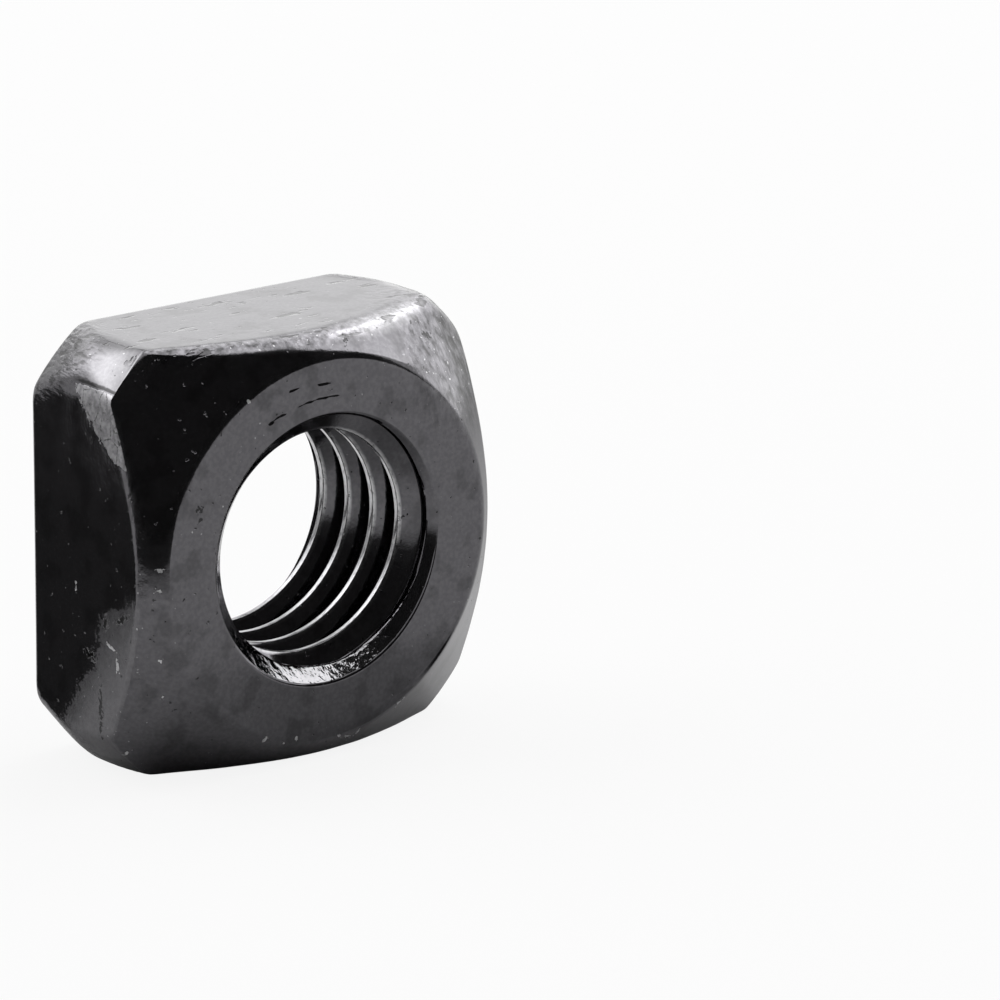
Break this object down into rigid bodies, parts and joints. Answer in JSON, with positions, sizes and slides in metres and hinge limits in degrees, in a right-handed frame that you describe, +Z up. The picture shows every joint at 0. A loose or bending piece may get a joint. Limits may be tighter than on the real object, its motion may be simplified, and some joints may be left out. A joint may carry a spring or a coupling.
{
  "type": "square nut",
  "caption": "Black steel square nut with rounded corners, a conical chamfer round a flat land on one face, a plain bearing face on the other, and a countersunk threaded hole through both.",
  "frame": {"origin": "middle of the flat that the nut stands on, halfway through its thickness", "axes": "+Z up from the flat it stands on; the thread axis lies along Y, with the bearing face to +Y and the chamfered face to -Y; +X runs along the flat it stands on, square to the thread axis"},
  "size_m": [0.016, 0.0074, 0.016],
  "materials": {
    "black_steel": "glossy black finish on formed steel, with small pits and scratches"
  },
  "bodies": {
    "root": {"square_nut": "black_steel"}
  },
  "joints": []
}
